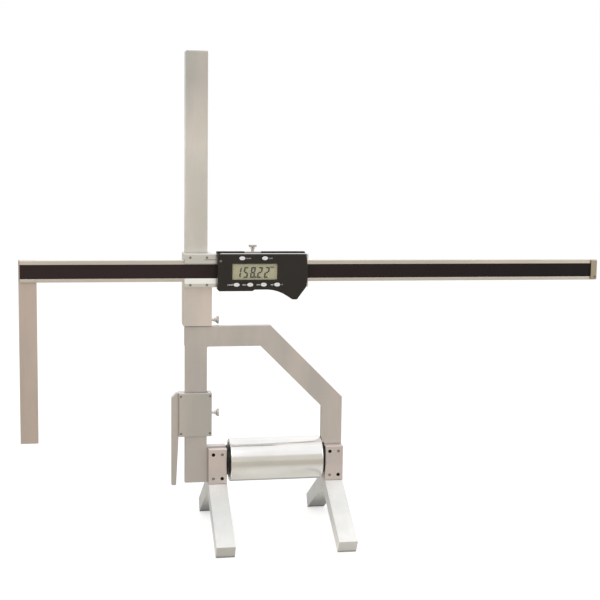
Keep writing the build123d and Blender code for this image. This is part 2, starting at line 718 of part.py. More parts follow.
# Cursor frame: the metal slider round the beam, with a boss for the beam's lock screw
with BuildPart() as cursor_frame:
    with BuildSketch(Plane.YZ.offset(carriage_left)):
        with BuildLine():
            Polyline(
                (channel_front, cursor_bottom_z),
                (channel_front, carriage_top_z),
                (rail_front, carriage_top_z),
                (rail_front, top_rail_z),
                (cursor_front, top_rail_z),
                (cursor_front, BEAM_BOTTOM_Z - SLIDE_GAP),
                (rail_front, BEAM_BOTTOM_Z - SLIDE_GAP),
                (rail_front, cursor_bottom_z),
                close=True,
            )
        make_face()
    extrude(amount=cursor_right - carriage_left)
    slab(
        (beam_lock_x - BOSS_WIDTH / 2, beam_lock_x + BOSS_WIDTH / 2),
        (rail_front, channel_front),
        (carriage_top_z - BOSS_ROOT, ridge_top_z),
    )
    drill(
        looking((beam_lock_x, beam_mid_y, ridge_top_z), (0, 0, 1)),
        LOCK_STEM_DIAMETER / 2 + SHAFT_GAP,
        ridge_top_z - top_rail_z,
    )
    for x, z in keeper_screws:
        drill(looking((x, rail_front, z), (0, -1, 0)), M16 / 2 + SCREW_GAP, channel_front - rail_front)
    for x, z in rear_screws:
        rear_face = looking((x, channel_front, z), (0, 1, 0))
        drill(rear_face, HOUSING_SCREW_HEAD / 2 + SCREW_GAP, REAR_SCREW_HEAD_HEIGHT)
        drill(rear_face, M16 / 2 + SCREW_GAP, channel_front - rail_front)
keep("cursor_frame", cursor_frame)

with BuildPart() as beam_gib:
    slab(
        (carriage_left + GIB_END_GAP, cursor_right - GIB_END_GAP),
        (beam_front, beam_back),
        (gib_bottom_z, gib_bottom_z + GIB_THICKNESS),
    )
keep("beam_gib", beam_gib)

# Keepers: front plates that hold the beam in the cursor frame, each with a tab inside the housing
upper_keeper_z = beam_top_z - KEEPER_LAP
lower_keeper_z = BEAM_BOTTOM_Z + KEEPER_LAP
keeper_tab_top_z = carriage_top_z - KEEPER_TAB_TOP_DROP
housing_screw_x = housing_left + TAB_SCREW_INSET
housing_screw_z = upper_keeper_z + TAB_SCREW_RISE
with BuildPart() as upper_keeper:
    slab((carriage_left, housing_left), (keeper_front, rail_front), (upper_keeper_z, carriage_top_z))
    chamfer(upper_keeper.faces().sort_by(Axis.Y)[0].edges(), EDGE_BREAK)
    slab(
        (housing_left - EDGE_BREAK, keeper_right),
        (keeper_front, rail_front),
        (upper_keeper_z, keeper_tab_top_z),
    )
    slab(
        (housing_left - KEEPER_SLIT_LENGTH, housing_left),
        (keeper_front, keeper_front + KEEPER_SLIT_DEPTH),
        (
            carriage_top_z - KEEPER_SLIT_DROP - KEEPER_SLIT_HEIGHT,
            carriage_top_z - KEEPER_SLIT_DROP,
        ),
        mode=Mode.SUBTRACT,
    )
    for x in keeper_screw_xs:
        drill(looking((x, keeper_front, upper_screw_z), (0, -1, 0)), M16 / 2 + SCREW_GAP, KEEPER_THICKNESS)
    drill(looking((housing_screw_x, keeper_front, housing_screw_z), (0, -1, 0)), M16 / 2, KEEPER_THICKNESS)
keep("upper_keeper", upper_keeper)

with BuildPart() as lower_keeper:
    with BuildSketch(Plane.YZ.offset(carriage_left)):
        with BuildLine():
            Polyline(
                (rail_front, cursor_bottom_z),
                (keeper_front, cursor_bottom_z),
                (keeper_front, lower_keeper_z - KEEPER_BEVEL_HEIGHT),
                (keeper_front + KEEPER_BEVEL_DEPTH, lower_keeper_z),
                (rail_front, lower_keeper_z),
                close=True,
            )
        make_face()
    extrude(amount=keeper_right - carriage_left)
    for x in keeper_screw_xs:
        drill(looking((x, keeper_front, lower_screw_z), (0, -1, 0)), M16 / 2 + SCREW_GAP, KEEPER_THICKNESS)
    tab_x, tab_z = rear_screws[0]
    drill(looking((tab_x, keeper_front, tab_z), (0, -1, 0)), M16 / 2 + SCREW_GAP, KEEPER_THICKNESS)
keep("lower_keeper", lower_keeper)

keeper_screw = slotted_screw(
    M16, channel_front - keeper_front + FRONT_WALL - 2 * BLIND_END, M16_HEAD, M16_HEAD_HEIGHT
)
with BuildPart() as keeper_screw_set:
    for x, z in keeper_screws:
        with Locations(looking((x, keeper_front, z), (0, -1, 0))):
            add(keeper_screw)
keep("keeper_screws", keeper_screw_set)

# Housing: a moulded shell over the cursor frame, with a hollow and a ribbed thumb rest below
bend_start = HOUSING_WIDTH - BEND_START_INSET
bend_end = HOUSING_WIDTH - BEND_END_INSET
tail_left = HOUSING_WIDTH - TAIL_LEFT_INSET
tail_right = HOUSING_WIDTH - TAIL_RIGHT_INSET
rest_start = Vector(bend_end, -BEND_END_DROP)
rest_direction = (Vector(tail_left, -TAIL_DROP) - rest_start).normalized()
thumb_grooves = [
    rest_start + rest_direction * (THUMB_GROOVE_START + i * THUMB_GROOVE_PITCH) for i in range(THUMB_GROOVES)
]
lid_z = (battery_z - LID_HEIGHT / 2, battery_z + LID_HEIGHT / 2)
with BuildPart() as housing_shell:
    with BuildSketch(housing_plane):
        with BuildLine():
            Polyline(
                (bend_start, -HOLLOW_BOTTOM),
                (HOLLOW_START + HOLLOW_RAMP, -HOLLOW_BOTTOM),
                (HOLLOW_START, -HOUSING_BOTTOM),
                (CORNER_CUT, -HOUSING_BOTTOM),
                (0, CORNER_CUT - HOUSING_BOTTOM),
                (0, HOUSING_TOP),
                (HOUSING_WIDTH - TOP_CORNER_INSET, HOUSING_TOP),
                (HOUSING_WIDTH, SIDE_RISE),
                (HOUSING_WIDTH, -SIDE_DROP),
                (HOUSING_WIDTH - WAIST_INSET, -WAIST_DROP),
                (tail_right, -TAIL_DROP),
                (tail_left, -TAIL_DROP),
                (bend_end, -BEND_END_DROP),
            )
            TangentArc((bend_start, -HOLLOW_BOTTOM), (bend_end, -BEND_END_DROP), tangent=(1, 0))
        make_face()
    extrude(amount=HOUSING_DEPTH)
    outer_edges = housing_shell.edges().filter_by(Axis.Y)
    fillet(outer_edges.sort_by(Axis.Z)[:2], TAIL_ROUND)
    right_edges = outer_edges.filter_by_position(Axis.X, housing_right - 2, housing_right + 1)
    fillet(right_edges.sort_by(Axis.Z)[:3], SIDE_ROUND)
    chamfer(housing_shell.faces().sort_by(Axis.Y)[0].outer_wire().edges(), FACE_CHAMFER)
    with BuildSketch(housing_plane):
        with Locations(thumb_grooves):
            Circle(THUMB_GROOVE_RADIUS)
    extrude(amount=HOUSING_DEPTH, mode=Mode.SUBTRACT)
    slab(
        (housing_left, housing_right - TOP_CORNER_INSET),
        (rail_front - RIDGE_LIP, rail_front),
        (beam_mid_z + CAVITY_TOP, ridge_top_z),
    )
    slab(
        (housing_left, housing_right - TOP_CORNER_INSET),
        (rail_front - RIDGE_LIP, rail_front + ROOF_DEPTH),
        (carriage_top_z + SLIDE_GAP / 2, ridge_top_z),
    )
    slab(
        (beam_lock_x - BOSS_WIDTH / 2 - SLIDE_GAP, beam_lock_x + BOSS_WIDTH / 2 + SLIDE_GAP),
        (rail_front - RIDGE_LIP, rail_front + ROOF_DEPTH),
        (carriage_top_z - BOSS_ROOT / 2, ridge_top_z),
        mode=Mode.SUBTRACT,
    )
    slab(
        (cavity_left, cavity_right),
        (wall_back, rail_front),
        (beam_mid_z - CAVITY_BOTTOM, beam_mid_z + CAVITY_TOP),
        mode=Mode.SUBTRACT,
    )
    slab(
        (housing_left, keeper_right + SLIDE_GAP),
        (keeper_front - SLIDE_GAP, rail_front),
        (upper_keeper_z - SLIDE_GAP, keeper_tab_top_z + SLIDE_GAP),
        mode=Mode.SUBTRACT,
    )
    slab(
        (housing_left, keeper_right + SLIDE_GAP),
        (keeper_front - SLIDE_GAP, rail_front),
        (cursor_bottom_z - SLIDE_GAP, lower_keeper_z + SLIDE_GAP),
        mode=Mode.SUBTRACT,
    )
    slab(
        (window_left, window_right),
        (housing_front, wall_back),
        (beam_mid_z - WINDOW_HEIGHT / 2, beam_mid_z + WINDOW_HEIGHT / 2),
        mode=Mode.SUBTRACT,
    )
    slab(
        (cavity_right, housing_right),
        (wall_back, wall_back + LID_DEPTH + 2 * SLIDE_GAP),
        (lid_z[0] - SLIDE_GAP, lid_z[1] + SLIDE_GAP),
        mode=Mode.SUBTRACT,
    )
    with BuildSketch(facing(wall_back)):
        with Locations(button_places):
            Ellipse(BUTTON_LENGTH / 2 + BUTTON_GAP, BUTTON_HEIGHT / 2 + BUTTON_GAP)
    extrude(amount=HOUSING_WALL, mode=Mode.SUBTRACT)
    front_hole = looking((housing_screw_x, housing_front, housing_screw_z), (0, -1, 0))
    drill(front_hole, HOUSING_SCREW_HEAD / 2 + SCREW_GAP, HOUSING_SCREW_HEAD_HEIGHT)
    drill(front_hole, M16 / 2 + SCREW_GAP, HOUSING_DEPTH)
    for x, z in rear_screws:
        drill(looking((x, rail_front, z), (0, 1, 0)), M16 / 2, REAR_SCREW_REACH)
keep("housing_shell", housing_shell)

with BuildPart() as display_window:
    slab(
        (window_left + SCREW_GAP, window_right - SCREW_GAP),
        (housing_front + WINDOW_SINK, wall_back),
        (beam_mid_z - WINDOW_HEIGHT / 2 + SCREW_GAP, beam_mid_z + WINDOW_HEIGHT / 2 - SCREW_GAP),
    )
keep("display_window", display_window)

lcd_front = wall_back + SCREW_GAP
lcd_back = lcd_front + LCD_THICKNESS
lcd_half_height = WINDOW_HEIGHT / 2 + LCD_MARGIN
with BuildPart() as lcd_panel:
    slab(
        (window_left - LCD_MARGIN, window_right + LCD_MARGIN),
        (lcd_front, lcd_back),
        (beam_mid_z - lcd_half_height, beam_mid_z + lcd_half_height),
    )
keep("lcd_panel", lcd_panel)

with BuildPart() as contact_strips:
    for sign in (-1, 1):
        outer_z = beam_mid_z + sign * lcd_half_height
        inner_z = outer_z - sign * CONTACT_STRIP_HEIGHT
        slab((window_left, window_right), (lcd_back, board_front), sorted((inner_z, outer_z)))
keep("contact_strips", contact_strips)

with BuildPart() as circuit_board:
    slab(
        (cavity_left + SLIDE_GAP, cavity_right - SLIDE_GAP),
        (board_front, rail_front),
        (beam_mid_z - CAVITY_BOTTOM + SLIDE_GAP, beam_mid_z + CAVITY_TOP - SLIDE_GAP),
    )
keep("circuit_board", circuit_board)

# Buttons: each stands through the face, with a flange behind it and a rubber pad as its spring
flange_front = wall_back + SLIDE_GAP
flange_back = flange_front + BUTTON_FLANGE_THICKNESS
pad_front = flange_back + BUTTON_TRAVEL + BUTTON_GAP
pad_overhang = BUTTON_LENGTH / 2 + PAD_MARGIN
for name, places in (("upper_keypad", upper_buttons), ("lower_keypad", lower_buttons)):
    with BuildPart() as keypad:
        slab(
            (places[0][0] - pad_overhang, places[-1][0] + pad_overhang),
            (pad_front, board_front),
            (places[0][1] - PAD_HEIGHT / 2, places[0][1] + PAD_HEIGHT / 2),
        )
    keep(name, keypad)

for name, place in zip(BUTTON_NAMES, button_places):
    with BuildPart() as button:
        with BuildSketch(facing(flange_front)):
            with Locations(place):
                Ellipse(BUTTON_LENGTH / 2, BUTTON_HEIGHT / 2)
        extrude(amount=flange_front - housing_front + BUTTON_PROUD)
        chamfer(button.faces().sort_by(Axis.Y)[0].edges(), EDGE_BREAK)
        with BuildSketch(facing(flange_back)):
            with Locations(place):
                Ellipse(BUTTON_LENGTH / 2 + BUTTON_FLANGE, BUTTON_HEIGHT / 2 + BUTTON_FLANGE)
        extrude(amount=BUTTON_FLANGE_THICKNESS)
    keep(f"{name}_button", button)

# Battery: it slides in from the right end, between the face and a spring clip on the board
battery_front = wall_back + SLIDE_GAP
battery_back = battery_front + BATTERY_THICKNESS
with BuildPart() as battery:
    with BuildSketch(facing(battery_back)):
        with Locations((battery_x, battery_z)):
            Circle(BATTERY_DIAMETER / 2)
    extrude(amount=BATTERY_THICKNESS)
    chamfer(battery.edges().filter_by(GeomType.CIRCLE), EDGE_BREAK)
keep("battery", battery)

with BuildPart() as battery_clip:
    with BuildSketch(Plane.XY.offset(battery_z - CLIP_WIDTH / 2)):
        with BuildLine():
            Polyline(
                (battery_x - CLIP_ARM, board_front),
                (battery_x + CLIP_METAL, board_front),
                (battery_x + CLIP_METAL, battery_back + CLIP_METAL),
                (battery_x + CLIP_ARM, battery_back + CLIP_METAL),
                (battery_x + CLIP_ARM, battery_back),
                (battery_x, battery_back),
                (battery_x, board_front - CLIP_METAL),
                (battery_x - CLIP_ARM, board_front - CLIP_METAL),
                close=True,
            )
        make_face()
    extrude(amount=CLIP_WIDTH)
keep("battery_clip", battery_clip)

lid_face = housing_right - LID_SINK
with BuildPart() as battery_lid:
    slab((cavity_right, lid_face), (wall_back + SLIDE_GAP, wall_back + SLIDE_GAP + LID_DEPTH), lid_z)
    with Locations((lid_face, wall_back + SLIDE_GAP + LID_DEPTH, battery_z)):
        Cylinder(LID_NOTCH_RADIUS, 2 * LID_NOTCH_DEPTH, rotation=(0, 90, 0), mode=Mode.SUBTRACT)
keep("battery_lid", battery_lid)

front_screw = slotted_screw(
    M16,
    HOUSING_DEPTH - HOUSING_SCREW_HEAD_HEIGHT - HOUSING_SCREW_END_GAP,
    HOUSING_SCREW_HEAD,
    HOUSING_SCREW_HEAD_HEIGHT,
)
rear_screw = slotted_screw(
    M16,
    channel_front - REAR_SCREW_HEAD_HEIGHT - rail_front + REAR_SCREW_REACH - BLIND_END,
    HOUSING_SCREW_HEAD,
    REAR_SCREW_HEAD_HEIGHT,
)
front_screw_y = housing_front + HOUSING_SCREW_HEAD_HEIGHT
with BuildPart() as housing_screw_set:
    with Locations(looking((housing_screw_x, front_screw_y, housing_screw_z), (0, -1, 0))):
        add(front_screw)
    for x, z in rear_screws:
        with Locations(looking((x, channel_front - REAR_SCREW_HEAD_HEIGHT, z), (0, 1, 0))):
            add(rear_screw)
keep("housing_screws", housing_screw_set)

# Beam: a steel bar with the scale strip let into its front, a measuring leg and an end stop
strip_right = beam_right - END_STOP_LENGTH
strip_x = (beam_left, strip_right)
strip_y = (beam_front, beam_front + STRIP_THICKNESS)
strip_mid_z = beam_mid_z - STRIP_DROP
strip_z = (strip_mid_z - STRIP_HEIGHT / 2, strip_mid_z + STRIP_HEIGHT / 2)
leg_mid_x = measuring_face_x + LEG_WIDTH / 2
leg_screws = [
    (leg_mid_x + i * LEG_SCREW_SPREAD_X / 2, beam_mid_z + j * LEG_SCREW_SPREAD_Z / 2)
    for i in (-1, 1)
    for j in (-1, 1)
]
end_screw = (beam_right - END_SCREW_INSET, BEAM_BOTTOM_Z + END_SCREW_RISE)
with BuildPart() as beam:
    slab((beam_left, beam_right), (beam_front, beam_back), (BEAM_BOTTOM_Z, beam_top_z))
    chamfer(beam.edges().filter_by(Axis.X), EDGE_BREAK)
    slab(strip_x, strip_y, strip_z, mode=Mode.SUBTRACT)
    for x, z in leg_screws:
        drill(looking((x, beam_back, z), (0, 1, 0)), M3 / 2, BEAM_THICKNESS - STRIP_THICKNESS - BLIND_END)
    drill(looking((end_screw[0], beam_front, end_screw[1]), (0, -1, 0)), M16 / 2, END_SCREW_REACH)
keep("beam", beam)

with BuildPart() as scale_strip:
    slab(strip_x, strip_y, strip_z)
keep("scale_strip", scale_strip)

leg_back = beam_back + LEG_THICKNESS
with BuildPart() as measuring_leg:
    slab((measuring_face_x, measuring_face_x + LEG_WIDTH), (beam_back, leg_back), (LEG_BOTTOM_Z, beam_top_z))
    chamfer(measuring_leg.faces().sort_by(Axis.Y)[-1].edges(), EDGE_BREAK)
    for x, z in leg_screws:
        drill(looking((x, leg_back, z), (0, 1, 0)), M3 / 2 + SCREW_GAP, LEG_THICKNESS)
        drill(looking((x, leg_back, z), (0, 1, 0)), LEG_SCREW_HEAD / 2 + SCREW_GAP, LEG_SCREW_HEAD_HEIGHT)
keep("measuring_leg", measuring_leg)

leg_screw = slotted_screw(
    M3,
    LEG_THICKNESS - LEG_SCREW_HEAD_HEIGHT + BEAM_THICKNESS - STRIP_THICKNESS - 2 * BLIND_END,
    LEG_SCREW_HEAD,
    LEG_SCREW_HEAD_HEIGHT,
)
with BuildPart() as leg_screw_set:
    for x, z in leg_screws:
        with Locations(looking((x, leg_back - LEG_SCREW_HEAD_HEIGHT, z), (0, 1, 0))):
            add(leg_screw)
keep("leg_screws", leg_screw_set)

with BuildPart() as end_stop:
    slab(
        (strip_right, beam_right),
        (beam_front - END_STOP_THICKNESS, beam_front),
        (beam_mid_z - END_STOP_HEIGHT / 2, beam_mid_z + END_STOP_HEIGHT / 2),
    )
    chamfer(end_stop.faces().sort_by(Axis.Y)[0].edges(), EDGE_BREAK)
    stop_front = looking((end_screw[0], beam_front - END_STOP_THICKNESS, end_screw[1]), (0, -1, 0))
    drill(stop_front, M16 / 2 + SCREW_GAP, END_STOP_THICKNESS)
keep("end_stop", end_stop)

with BuildPart() as end_stop_screw:
    with Locations(stop_front):
        add(slotted_screw(M16, END_STOP_THICKNESS + END_SCREW_REACH - BLIND_END, M16_HEAD, M16_HEAD_HEIGHT))
keep("end_stop_screw", end_stop_screw)

# Jaw: a tapered blade and a side bar between two plates, sliding on the frame's left upright
jaw_inner = plate_back + SLIDE_GAP
blade_shoulder = upright_left - SLIDE_GAP
jaw_screws = [
    (x, z)
    for x in (cover_left + JAW_SCREW_INSET, jaw_right - JAW_SIDE_BAR / 2)
    for z in (JAW_BOTTOM_Z + JAW_SCREW_EDGE, jaw_top_z - JAW_SCREW_EDGE)
]

with BuildPart() as jaw_blade:
    with BuildSketch(facing(jaw_inner)):
        with BuildLine():
            Polyline(
                (locating_face_x, BLADE_TIP_Z),
                (locating_face_x + BLADE_TIP_WIDTH, BLADE_TIP_Z),
                (locating_face_x + BLADE_ROOT_WIDTH, JAW_BOTTOM_Z),
                (blade_shoulder, JAW_BOTTOM_Z),
                (blade_shoulder, jaw_top_z),
                (locating_face_x + JAW_CORNER, jaw_top_z),
                (locating_face_x, jaw_top_z - JAW_CORNER),
                close=True,
            )
        make_face()
    extrude(amount=jaw_inner - channel_inner)
    for x, z in jaw_screws[:2]:
        drill(looking((x, channel_inner, z), (0, -1, 0)), M16 / 2 + SCREW_GAP, jaw_inner - channel_inner)
keep("jaw_blade", jaw_blade)

with BuildPart() as jaw_side_bar:
    slab((wall_left, jaw_right), (channel_inner, jaw_inner), (JAW_BOTTOM_Z, jaw_top_z))
    drill(
        looking((jaw_right, 0, jaw_lock_z), (1, 0, 0)), LOCK_STEM_DIAMETER / 2 + SHAFT_GAP, JAW_SIDE_BAR
    )
    for x, z in jaw_screws[2:]:
        drill(looking((x, channel_inner, z), (0, -1, 0)), M16 / 2 + SCREW_GAP, jaw_inner - channel_inner)
keep("jaw_side_bar", jaw_side_bar)

for name, near, far in (
    ("jaw_cover_plate", channel_inner - JAW_PLATE, channel_inner),
    ("jaw_back_plate", jaw_inner, jaw_inner + JAW_PLATE),
):
    with BuildPart() as jaw_plate:
        slab((cover_left, jaw_right), (near, far), (JAW_BOTTOM_Z, jaw_top_z))
        outer = jaw_plate.faces().filter_by(Axis.Y).sort_by(Axis.Y)[0 if far <= channel_inner else -1]
        chamfer(outer.edges(), EDGE_BREAK)
        for x, z in jaw_screws:
            drill(looking((x, near, z), (0, -1, 0)), M16 / 2 + SCREW_GAP, JAW_PLATE)
            if far <= channel_inner:
                drill(looking((x, near, z), (0, -1, 0)), M16_HEAD / 2 + SCREW_GAP, M16_HEAD_HEIGHT)
    keep(name, jaw_plate)

with BuildPart() as jaw_gib:
    slab(
        (gib_left, gib_left + GIB_THICKNESS),
        (plate_front, plate_back),
        (JAW_BOTTOM_Z + GIB_END_GAP, jaw_top_z - GIB_END_GAP),
    )
keep("jaw_gib", jaw_gib)

jaw_depth = jaw_inner - channel_inner + 2 * JAW_PLATE
jaw_screw = slotted_screw(M16, jaw_depth - M16_HEAD_HEIGHT - BLIND_END, M16_HEAD, M16_HEAD_HEIGHT)
with BuildPart() as jaw_screw_set:
    for x, z in jaw_screws:
        with Locations(looking((x, channel_inner - JAW_PLATE + M16_HEAD_HEIGHT, z), (0, -1, 0))):
            add(jaw_screw)
keep("jaw_screws", jaw_screw_set)

# Lock screws: each presses on a gib
lock_tip_x = gib_left + GIB_THICKNESS + GIB_GAP
with BuildPart() as carriage_lock:
    with Locations(looking((lock_tip_x, carriage_mid_y, carriage_lock_z), (1, 0, 0))):
        add(lock_screw(carriage_right - lock_tip_x + LOCK_STEM_SHOWN))
keep("carriage_lock", carriage_lock)

with BuildPart() as jaw_lock:
    with Locations(looking((lock_tip_x, 0, jaw_lock_z), (1, 0, 0))):
        add(lock_screw(jaw_right - lock_tip_x + LOCK_STEM_SHOWN))
keep("jaw_lock", jaw_lock)

with BuildPart() as beam_lock:
    with Locations(looking((beam_lock_x, beam_mid_y, top_rail_z), (0, 0, 1))):
        add(lock_screw(ridge_top_z - top_rail_z + BEAM_LOCK_SHOWN))
keep("beam_lock", beam_lock)

os.makedirs("parts", exist_ok=True)
for name, piece in pieces.items():
    export_step(piece, f"parts/{name}.step")
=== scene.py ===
from math import cos, pi, radians, sin, tan

import bmesh
import bpy
from mathutils import Matrix, Vector


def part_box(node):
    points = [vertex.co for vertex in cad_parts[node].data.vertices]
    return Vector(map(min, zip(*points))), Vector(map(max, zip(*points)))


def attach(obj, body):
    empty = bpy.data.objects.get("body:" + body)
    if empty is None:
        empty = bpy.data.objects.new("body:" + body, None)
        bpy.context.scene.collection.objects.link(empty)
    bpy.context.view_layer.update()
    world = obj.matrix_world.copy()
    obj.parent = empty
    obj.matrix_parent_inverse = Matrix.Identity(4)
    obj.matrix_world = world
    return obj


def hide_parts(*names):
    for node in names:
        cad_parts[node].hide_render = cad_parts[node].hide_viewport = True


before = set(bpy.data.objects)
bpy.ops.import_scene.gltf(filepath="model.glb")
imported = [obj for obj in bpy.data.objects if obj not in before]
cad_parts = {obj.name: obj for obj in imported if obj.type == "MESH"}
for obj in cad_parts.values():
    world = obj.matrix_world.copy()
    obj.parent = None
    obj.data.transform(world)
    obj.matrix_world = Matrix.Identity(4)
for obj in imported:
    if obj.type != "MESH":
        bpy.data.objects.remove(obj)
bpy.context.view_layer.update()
scene = bpy.context.scene
MM = 0.001


# Colours

def srgb(r, g, b):
    """A colour written 0 to 255, as the linear values that the shaders take."""
    channels = []
    for value in (r / 255, g / 255, b / 255):
        channels.append(value / 12.92 if value <= 0.04045 else ((value + 0.055) / 1.055) ** 2.4)
    return (*channels, 1.0)


def tinted(colour, tint):
    return (*(min(c * t, 1.0) for c, t in zip(colour, tint)), 1.0)


def shade(colour, factor):
    return tinted(colour, (factor, factor, factor))


# Shader nodes

def new_material(name):
    material = bpy.data.materials.new(name)
    material.use_nodes = True
    tree = material.node_tree
    tree.nodes.clear()
    out = tree.nodes.new("ShaderNodeOutputMaterial")
    shader = tree.nodes.new("ShaderNodeBsdfPrincipled")
    tree.links.new(shader.outputs["BSDF"], out.inputs["Surface"])
    return material, tree, shader


def noise(tree, scale, detail, roughness, stretch=(1, 1, 1)):
    """Noise in the object's own metres. A small stretch value draws it out along that axis."""
    coords = tree.nodes.new("ShaderNodeTexCoord")
    mapping = tree.nodes.new("ShaderNodeMapping")
    mapping.inputs["Scale"].default_value = stretch
    texture = tree.nodes.new("ShaderNodeTexNoise")
    texture.inputs["Scale"].default_value = scale
    texture.inputs["Detail"].default_value = detail
    texture.inputs["Roughness"].default_value = roughness
    tree.links.new(coords.outputs["Object"], mapping.inputs["Vector"])
    tree.links.new(mapping.outputs["Vector"], texture.inputs["Vector"])
    return texture.outputs["Fac"]


def drawn_out(axis, share):
    """The stretch that draws a noise out along one axis."""
    return tuple(share if name == axis else 1 for name in "xyz")


def remap(tree, value, span, result=(0, 1)):
    """A value's span turned into another range, and held at its ends."""
    node = tree.nodes.new("ShaderNodeMapRange")
    node.inputs["From Min"].default_value, node.inputs["From Max"].default_value = span
    node.inputs["To Min"].default_value, node.inputs["To Max"].default_value = result
    tree.links.new(value, node.inputs["Value"])
    return node.outputs["Result"]


def value_of(tree, operation, *values):
    node = tree.nodes.new("ShaderNodeMath")
    node.operation = operation
    for value, socket in zip(values, node.inputs):
        if isinstance(value, (int, float)):
            socket.default_value = value
        else:
            tree.links.new(value, socket)
    return node.outputs["Value"]


def mix(tree, factor, a, b):
    node = tree.nodes.new("ShaderNodeMix")
    node.data_type = "RGBA"
    tree.links.new(factor, node.inputs["Factor"])
    for value, socket in ((a, node.inputs["A"]), (b, node.inputs["B"])):
        if isinstance(value, tuple):
            socket.default_value = value
        else:
            tree.links.new(value, socket)
    return node.outputs["Result"]


def along_axis(tree, coordinate, axis):
    """One component of a texture coordinate, such as Object or Normal."""
    coords = tree.nodes.new("ShaderNodeTexCoord")
    parts = tree.nodes.new("ShaderNodeSeparateXYZ")
    tree.links.new(coords.outputs[coordinate], parts.inputs["Vector"])
    return parts.outputs[axis]


EDGE_SAMPLES = 4
EDGE_TURN = (1.0, 0.8)


def edge_mask(tree, radius):
    """Near 1 within the radius of an edge and 0 on open faces, with the rounded normal that it comes from."""
    bevel = tree.nodes.new("ShaderNodeBevel")
    bevel.samples = EDGE_SAMPLES
    bevel.inputs["Radius"].default_value = radius
    geometry = tree.nodes.new("ShaderNodeNewGeometry")
    dot = tree.nodes.new("ShaderNodeVectorMath")
    dot.operation = "DOT_PRODUCT"
    tree.links.new(bevel.outputs["Normal"], dot.inputs[0])
    tree.links.new(geometry.outputs["Normal"], dot.inputs[1])
    return remap(tree, dot.outputs["Value"], EDGE_TURN), bevel.outputs["Normal"]


def darkened(tree, tone, mask, share):
    """The tone, and share times the tone where the mask is 1."""
    node = tree.nodes.new("ShaderNodeHueSaturation")
    node.inputs["Value"].default_value = share
    tree.links.new(tone, node.inputs["Color"])
    return mix(tree, mask, tone, node.outputs["Color"])


# Painted shade in crevices and corners: its reach, its samples and the openness span that it fades over
CREVICE_REACH = 3 * MM
CREVICE_SAMPLES = 8
CREVICE_OPENNESS = (0.35, 0.9)


def shade_crevices(tree, tone, share):
    """Painted shade: the tone, darkened to a share of itself where another face stands close by."""
    occlusion = tree.nodes.new("ShaderNodeAmbientOcclusion")
    occlusion.samples = CREVICE_SAMPLES
    occlusion.inputs["Distance"].default_value = CREVICE_REACH
    return darkened(tree, tone, remap(tree, occlusion.outputs["AO"], CREVICE_OPENNESS, (1, 0)), share)


def bump(tree, height, strength, distance, normal):
    node = tree.nodes.new("ShaderNodeBump")
    node.inputs["Strength"].default_value = strength
    node.inputs["Distance"].default_value = distance
    tree.links.new(height, node.inputs["Height"])
    tree.links.new(normal, node.inputs["Normal"])
    return node.outputs["Normal"]


# Materials

# Each noise: its scale per metre, its detail and its roughness
LINES = (2600, 3, 0.65)
CLOUDS = (26, 5, 0.6)
SPECKS = (900, 3, 0.5)
BANDS = (34, 3, 0.5)
PATCHES = (40, 4, 0.6)
SMEARS = (120, 4, 0.6)

LINE_STRETCH = 0.03
LINE_SPAN = (0.35, 0.65)
LINE_DEPTH = 0.04 * MM
CLOUD_SPAN = (0.42, 0.68)
CLOUD_AMOUNT = (0, 0.45)
CLOUD_SHADE = 0.88
BAND_STRETCH = 0.25
COOL_SPAN = (0.38, 0.50)
COOL_AMOUNT = (0.55, 0)
COOL_TINT = (0.88, 0.90, 0.91)
WARM_SPAN = (0.50, 0.62)
WARM_AMOUNT = (0, 0.50)
WARM_TINT = (1.12, 1.07, 1.06)
WEAR_SPAN = (0.35, 0.6)
WEAR_AMOUNT = (0.25, 0.9)
END_SHADE_TURN = (0.70, 0.82)
GLOSS_SPAN = (0.3, 0.7)

FINE_EDGE = 0.2 * MM
EDGE = 0.4 * MM
SOFT_EDGE = 0.5 * MM


